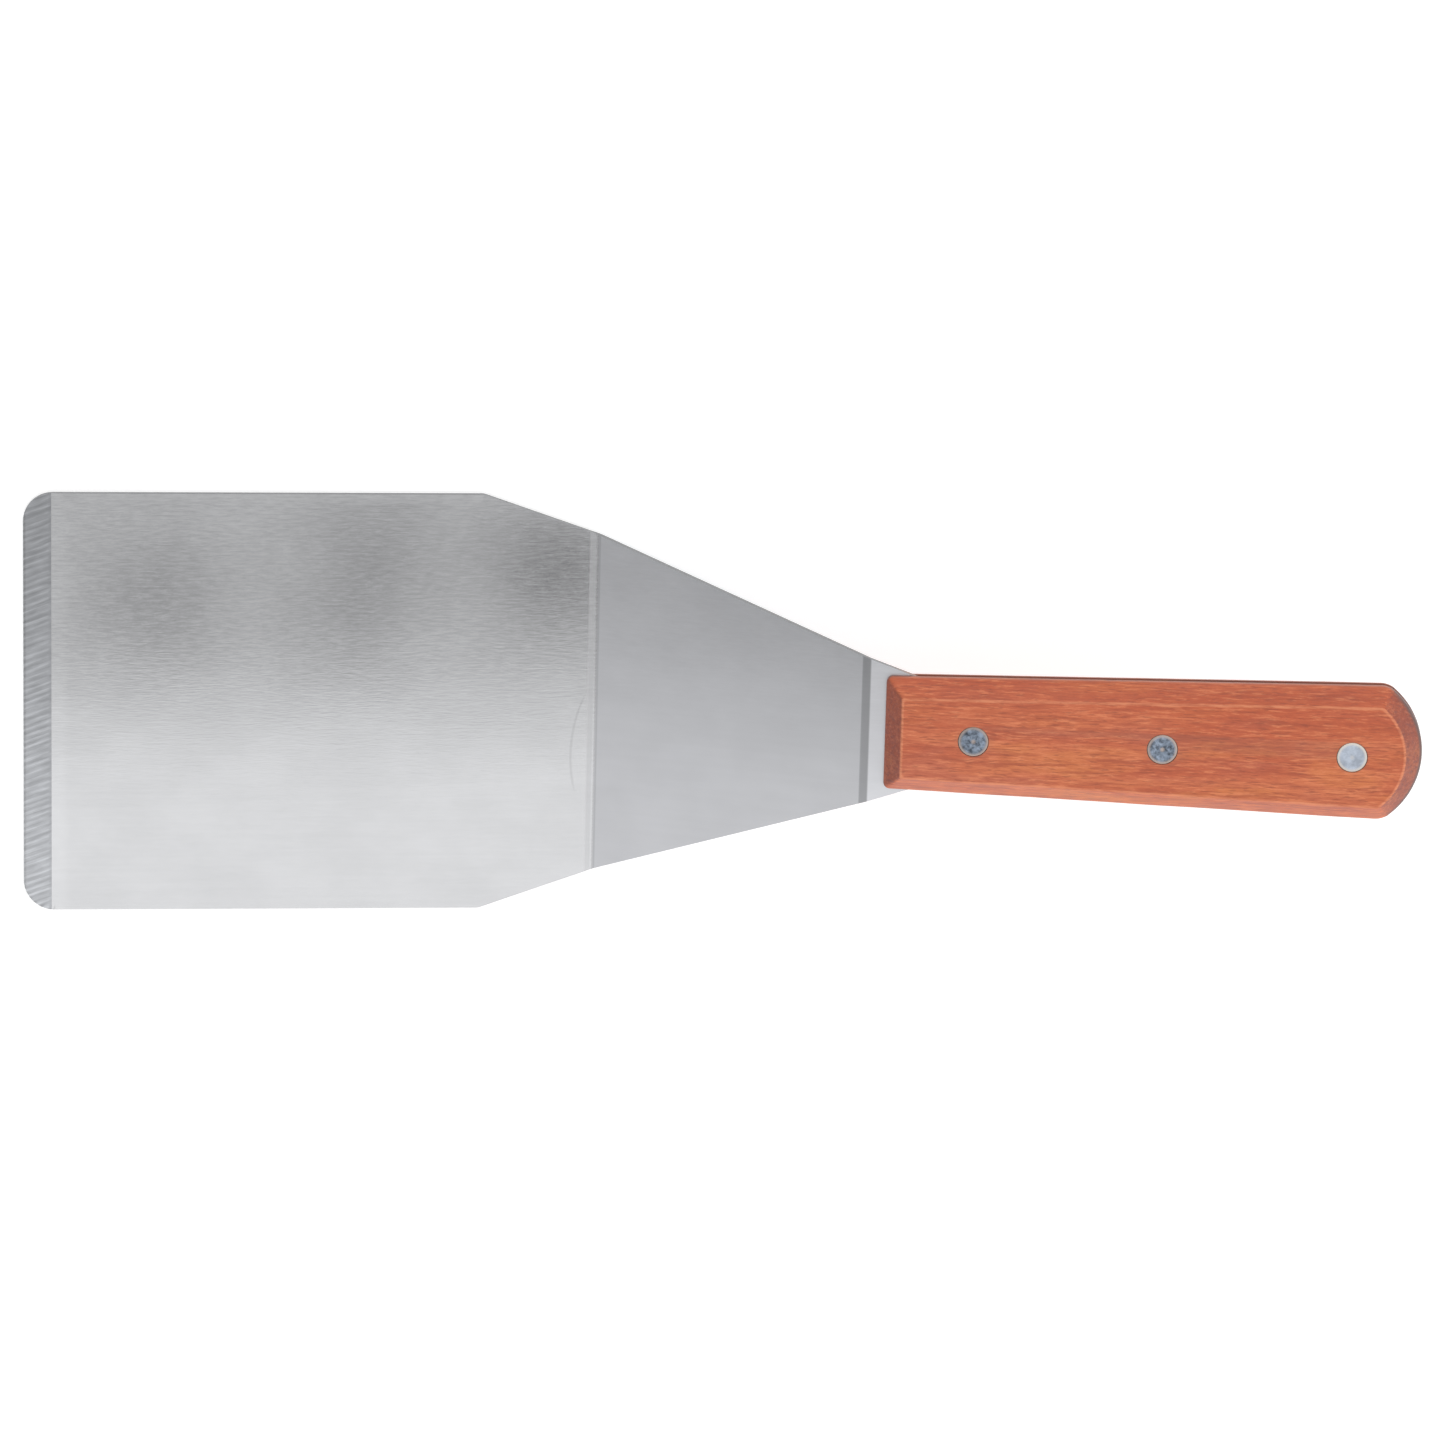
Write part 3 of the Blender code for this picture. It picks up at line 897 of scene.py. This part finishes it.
def satin_steel(sheet):
    """Brushed along the blade, smoother on the neck, with painted shade along both bends, painted light
    on the bare tang and a faint press mark in front of the heel.
    """
    material, tree, shader = new_material("satin_steel")
    place = sheet_coordinates(tree)
    axes = split(tree, place)
    along = axes["X"]
    broad = grainy(tree, place, (0.05, 0.0016, 1), 2.0)
    streaks = grainy(tree, place, (0.0042, 0.0006, 1), 4.0, 0.72, offset=(3, 1, 0), distortion=0.03)
    hairs = grainy(tree, place, (0.0022, 0.0003, 1), 3.0, 0.7, offset=(7, 5, 0), distortion=0.03)
    clouds = grainy(tree, place, (0.018, 0.013, 1), 3.0, 0.5, offset=(1, 9, 0))
    brushing = mixed(tree, streaks, hairs, 0.65)
    neck = remap(tree, along, sheet.heel, sheet.heel + 0.001)
    strength = remap(tree, axes["Y"], *BRUSHING_FADE, *BRUSHING_STRENGTH)
    strength = change(tree, strength, neck, 0.3)
    contrast = times(tree, remap(tree, brushing, 0.35, 0.65, -1.0, 1.0), strength)
    tone = plus(tree, contrast, 1.0)
    tone = vary(tree, tone, broad, 0.3, 0.7, 0.992, 1.008)
    tone = vary(tree, tone, clouds, 0.3, 0.7, 0.975, 1.025)
    tone = change(tree, tone, neck, NECK_TONE)
    for centre, half_width, softness, brighter in (
        (sheet.band_end + 0.0005, 0.0006, 0.0045, 0.05),     # rubbed behind the ground band
        # painted shade on both sides of the heel's crease
        (sheet.heel - 0.0007, 0.0003, 0.0005, -0.04),        # both sides of the heel
        (sheet.heel + 0.0007, 0.0002, 0.0004, -0.15),
        # painted shade on the bend at the handle, where the steel mirrors darker surroundings
        (sheet.tang_bend - 0.0001, 0.0007, 0.0006, -0.34),   # the bend at the handle
        # painted light: the bare tang is painted lighter than the neck
        (sheet.tang_bend + 0.0055, 0.0043, 0.0006, 0.30),    # the bare tang behind it
    ):
        tone = change(tree, tone, band(tree, along, centre, half_width, softness), 1 + brighter)
    tone = change(tree, tone, press_mark(tree, place, axes, sheet), PRESS_MARK_TONE)
    steel = blend(tree, neck, BLADE_STEEL, NECK_STEEL)
    roughness = plus(tree, remap(tree, brushing, 0.3, 0.7, 0.18, 0.23), times(tree, neck, 0.15))
    stretched_line = band(tree, along, sheet.heel - 0.0007, 0.0004, 0.0006)
    roughness = plus(tree, roughness, times(tree, stretched_line, 0.16))
    tangent = add(tree, "Tangent", direction_type="UV_MAP", uv_map="sheet").outputs[0]
    height = change(tree, brushing, neck, 0.15)
    connect(tree, shader, {
        "Metallic": 1.0,
        "Base Color": tint(tree, steel, tone),
        "Roughness": roughness,
        "Anisotropic": 0.4,
        "Tangent": tangent,
        "Normal": add_bump(tree, height, BRUSHING_DEPTH),
    })
    return material


def ground_steel(sheet):
    """The band behind the cutting edge, left coarse by the grinding wheel."""
    material, tree, shader = new_material("ground_steel")
    place = sheet_coordinates(tree)
    turn = -RIDGE_ANGLE
    lines = grainy(tree, place, (0.012, 0.00035, 1), 3.0, 0.6, turn)
    fine = grainy(tree, place, (0.006, 0.00013, 1), 2.0, 0.6, turn, (4, 4, 0))
    grit = mixed(tree, lines, fine, 0.65)
    strokes = grainy(tree, place, (0.005, 0.0011, 1), 2.0, 0.5, turn, (8, 2, 0))
    tone = remap(tree, grit, 0.3, 0.7, 0.87, 1.13)
    tone = vary(tree, tone, strokes, 0.3, 0.7, 0.9, 1.1)
    ridge = attribute(tree, "ridge")
    # painted shade in the hollows between the grinding ridges and a painted highlight on their crests
    tone = vary(tree, tone, ridge, 0.0, 0.5, 0.92, 1.0)
    tone = vary(tree, tone, ridge, 0.6, 1.0, 1.0, 1.14)
    axes = split(tree, place)
    # painted light: the band is painted lighter towards -Y and darker towards +Y
    tone = vary(tree, tone, axes["Y"], -0.045, 0.045, 1.08, 0.87)
    # painted shade: a darker line along the cutting edge
    painted_edge_shade = band(tree, axes["X"], sheet.along(sheet.front), 0.0004, 0.0003)
    tone = change(tree, tone, painted_edge_shade, 0.85)
    connect(tree, shader, {
        "Metallic": 1.0,
        "Base Color": tint(tree, GROUND_STEEL, tone),
        "Roughness": remap(tree, grit, 0.3, 0.7, 0.34, 0.5),
        "Normal": add_bump(tree, grit, GRIT_DEPTH),
    })
    return material


def sheared_steel(wood_front):
    """The rim of the sheet, painted dark as shade, and dark grey-brown as shade where it lies between
    the scales.
    """
    material, tree, shader = new_material("sheared_steel")
    place = add(tree, "TexCoord").outputs["Object"]
    streaks = grainy(tree, place, (0.003, 0.003, 0.00012), 3.0)
    tone = remap(tree, streaks, 0.3, 0.7, 0.8, 1.2)
    # painted shade along the seam between the scales
    seam_shade = remap(tree, split(tree, place)["X"], wood_front, wood_front + SEAM_SHADE_FADE)
    steel = blend(tree, seam_shade, SHEARED_STEEL, SEAM_SHADE_STEEL)
    connect(tree, shader, {
        "Metallic": 1.0,
        "Base Color": tint(tree, steel, tone),
        "Roughness": remap(tree, streaks, 0.3, 0.7, 0.4, 0.55),
        "Normal": add_bump(tree, streaks, SHEARING_DEPTH),
    })
    return material


def wood_figure(tree, place, fibres, dark_pores):
    """The colour of long grain: broad figure, casts, a redder side, dark bands, fibres and pores."""
    figure = grainy(tree, place, (0.06, 0.006, 0.006), 3.0, 0.55, distortion=0.4)
    bands = grainy(tree, place, (0.02, 0.0014, 0.0018), 4.0, 0.65, offset=(2, 0, 0), distortion=0.3)
    cast = grainy(tree, place, (0.028, 0.007, 0.007), 2.0, 0.5, offset=(4, 8, 0), distortion=0.5)
    across = plus(tree, split(tree, place)["Y"], times(tree, cast, 0.01))
    colour = blend(tree, remap(tree, figure, 0.35, 0.65), DARK_FIGURE, LIGHT_FIGURE)
    for value, low, high, most, other in (
        (cast, 0.5, 0.68, 0.55, YELLOW_CAST),
        (cast, 0.48, 0.32, 0.45, DULL_CAST),
        (across, 0.005, 0.016, 0.6, RED_SIDE),
        (bands, 0.48, 0.7, 0.55, DARK_BAND),
        (fibres, 0.5, 0.66, 0.55, LIGHT_FIBRE),
        (fibres, 0.5, 0.36, 0.5, DARK_FIBRE),
    ):
        colour = blend(tree, remap(tree, value, low, high, 0.0, most), colour, other)
    return blend(tree, dark_pores, colour, PORE)


def red_wood(handle):
    """Oiled red-brown hardwood: long grain, pores and darker end grain, with painted highlights on the
    ridges and painted shade towards the seam and at the foot of the rear chamfer.
    """
    material, tree, shader = new_material("red_wood")
    place = attribute(tree, "grain", "Vector")
    fibres = grainy(tree, place, (0.0055, 0.0006, 0.0007), 4.0, 0.7, offset=(5, 0, 0), distortion=0.3)
    pores = grainy(tree, place, (0.003, 0.00034, 0.0004), 2.0, 0.5, offset=(9, 0, 0))
    dark_pores = remap(tree, pores, 0.56, 0.68, 0.0, 0.45)
    colour = wood_figure(tree, place, fibres, dark_pores)

    lengthwise = dot(tree, add(tree, "NewGeometry").outputs["Normal"], handle.along)
    end_grain = remap(tree, math_of(tree, "ABSOLUTE", lengthwise), 0.3, 0.75)
    colour = blend(tree, end_grain, colour, END_GRAIN_SHADE, "MULTIPLY")
    vessels = grainy(tree, place, (0.0015, 0.0009, 0.0015), 4.0, 0.65, offset=(1, 6, 3))
    colour = blend(tree, vary(tree, end_grain, vessels, 0.5, 0.66, 0.0, 0.6), colour, VESSEL)

    # painted highlight along the ridges of the chamfers, broken up by the fibres
    crest_highlight = vary(tree, attribute(tree, "ridge"), fibres, 0.35, 0.65, 0.3, 0.95)
    colour = blend(tree, crest_highlight, colour, CREST_HIGHLIGHT_WOOD)
    hem = attribute(tree, "hem")
    # painted shade: greyer and darker towards the seam with the tang
    colour = blend(tree, remap(tree, hem, -0.5, 0.9, 0.1, 0.68), colour, SEAM_SHADE_WOOD)
    # painted shade: darker at the foot of the faces that look towards the rear
    rear_end = remap(tree, lengthwise, 0.3, 0.75)
    painted_rear_shade = vary(tree, rear_end, hem, -1.0, -0.3, 0.0, 0.85)
    colour = blend(tree, painted_rear_shade, colour, REAR_SHADE_WOOD)

    bump = add_bump(tree, fibres, FIBRE_DEPTH)
    bump = add_bump(tree, math_of(tree, "SUBTRACT", 1.0, dark_pores), PORE_DEPTH, bump)
    connect(tree, shader, {
        "Base Color": colour,
        "Roughness": remap(tree, fibres, 0.3, 0.7, 0.42, 0.56),
        "Sheen Weight": 0.05,
        "Sheen Roughness": 0.4,
        "Normal": bump,
    })
    return material


def rivet_metal(name, colour, border_highlight, roughness, mottle):
    """Pressed aluminium. The mottling is stronger where the tool has bruised it; the head's rounded
    border is painted light as a highlight.
    """
    material, tree, shader = new_material(name)
    place = attribute(tree, "grain", "Vector")
    spots = grainy(tree, place, (0.0011, 0.0011, 0.0011), 4.0, 0.65)
    fine = grainy(tree, place, (0.00025, 0.00025, 0.00025), 3.0, 0.6, offset=(3, 3, 0))
    broad = grainy(tree, place, (0.003, 0.003, 0.003), 1.0, offset=(6, 1, 0))
    tone = remap(tree, spots, 0.3, 0.7, 1 - mottle, 1 + mottle)
    tone = vary(tree, tone, fine, 0.3, 0.7, 0.94, 1.06)
    tone = vary(tree, tone, broad, 0.35, 0.65, 0.88, 1.12)
    connect(tree, shader, {
        "Metallic": 1.0,
        # the border is painted lighter, as a highlight
        "Base Color": blend(tree, attribute(tree, "ridge"), tint(tree, colour, tone), border_highlight),
        "Roughness": remap(tree, spots, 0.3, 0.7, *roughness),
        "Normal": add_bump(tree, fine, PRESSED_DEPTH),
    })
    return material


# ---------------------------------------------------------------- studio


def add_light_table():
    """A pale floor that glows a little, so that shadows on it stay faint."""
    mesh = bpy.data.meshes.new("light_table")
    bm = bmesh.new()
    bmesh.ops.create_circle(bm, cap_ends=True, segments=64, radius=FLOOR_RADIUS)
    bmesh.ops.translate(bm, verts=bm.verts, vec=(0, 0, cad_box[0].z - FLOOR_CLEARANCE))
    bm.to_mesh(mesh)
    bm.free()
    material, tree, shader = new_material("light_table")
    connect(tree, shader, {
        "Base Color": (FLOOR_GREY, FLOOR_GREY, FLOOR_GREY, 1),
        "Roughness": 0.9,
        "Specular IOR Level": 0.0,
        "Emission Color": (1, 1, 1, 1),
        "Emission Strength": FLOOR_GLOW,
    })
    mesh.materials.append(material)
    floor = bpy.data.objects.new("light_table", mesh)
    bpy.context.scene.collection.objects.link(floor)


def add_world():
    """A white tent, brighter towards +X, -Y and overhead, so that the chamfers differ.

    Its reflection fades towards the horizon, so that the steel stands out from the floor in low views.
    """
    world = bpy.data.worlds.new("white_tent")
    world.use_nodes = True
    tree = world.node_tree
    direction = add(tree, "TexCoord").outputs["Generated"]
    light = plus(tree, dot(tree, direction, TENT_LEAN), TENT_LEVEL)
    up = math_of(tree, "MAXIMUM", split(tree, direction)["Z"], 0.0)
    reflected = plus(tree, times(tree, up, ZENITH_REFLECTION), HORIZON_REFLECTION)
    ray = add(tree, "LightPath").outputs
    difference = math_of(tree, "SUBTRACT", reflected, light)
    light = plus(tree, light, times(tree, difference, ray["Is Glossy Ray"]))
    light = math_of(tree, "MAXIMUM", light, ray["Is Camera Ray"])
    connect(tree, tree.nodes["Background"], {"Color": (1, 1, 1, 1), "Strength": light})
    bpy.context.scene.world = world


def add_reflector():
    """A lit card above the blade, seen only in the steel: bright on the -Y side, dark on the other."""
    mesh = bpy.data.meshes.new("reflector")
    bm = bmesh.new()
    bmesh.ops.create_grid(bm, x_segments=1, y_segments=1, size=0.5)
    bmesh.ops.scale(bm, verts=bm.verts, vec=(*CARD_SIZE, 1))
    bmesh.ops.rotate(bm, verts=bm.verts, matrix=Matrix.Rotation(math.pi, 3, "X"))
    bm.to_mesh(mesh)
    bm.free()
    material, tree, shader = new_material("reflector")
    place = add(tree, "TexCoord").outputs["Object"]
    across = split(tree, place)["Y"]
    light = remap(tree, across, *CARD_FADE)
    light = vary(tree, light, across, *CARD_SECOND_FADE)
    for x, y, width, depth in CARD_PATCHES:
        distance = distance_from(tree, place, (x, y, 0))
        patch = remap(tree, distance, 0.0, width * PATCH_REACH, depth, 0.0)
        light = math_of(tree, "SUBTRACT", light, patch, clamp=True)
    connect(tree, shader, {
        "Base Color": (0, 0, 0, 1),
        "Specular IOR Level": 0.0,
        "Emission Color": (1, 1, 1, 1),
        "Emission Strength": light,
    })
    mesh.materials.append(material)
    card = bpy.data.objects.new("reflector", mesh)
    card.location = (0.0, 0.0, CARD_HEIGHT)
    for ray in ("camera", "diffuse", "transmission", "volume_scatter", "shadow"):
        setattr(card, "visible_" + ray, False)
    bpy.context.scene.collection.objects.link(card)


def add_camera():
    camera = bpy.data.cameras.new("camera")
    camera.lens = CAMERA_LENS
    camera.sensor_width = CAMERA_SENSOR
    camera.clip_start = 0.01
    camera.clip_end = 50
    holder = bpy.data.objects.new("camera", camera)
    holder.location = CAMERA_PLACE
    holder.rotation_euler = CAMERA_TURN
    bpy.context.scene.collection.objects.link(holder)
    bpy.context.scene.camera = holder


def build_object():
    handle = HandleFrame()
    build_blade(handle)
    wood = red_wood(handle)
    build_scale("upper_scale", "handle_scale_top", handle, wood, turned_over=False)
    build_scale("lower_scale", "handle_scale_bottom", handle, wood, turned_over=True)
    bruised = (rivet_metal("bruised_aluminium", **BRUISED_METAL), BRUISED_DENTS, BRUISED_DIMPLE)
    clean = (rivet_metal("clean_aluminium", **CLEAN_METAL), CLEAN_DENTS, CLEAN_DIMPLE)
    for i, (place, x) in enumerate(handle.rivets.items()):
        look = clean if place == "rear" else bruised
        for half, seed, turned_over in (("sleeve", i, False), ("pin", i + PIN_SEED, True)):
            node = "rivet_" + half + "_" + place
            build_rivet_half(node + "_face", node, handle, x, look, seed, turned_over)


build_object()
add_light_table()
add_world()
add_reflector()
add_camera()
bpy.context.scene.view_settings.view_transform = "Standard"
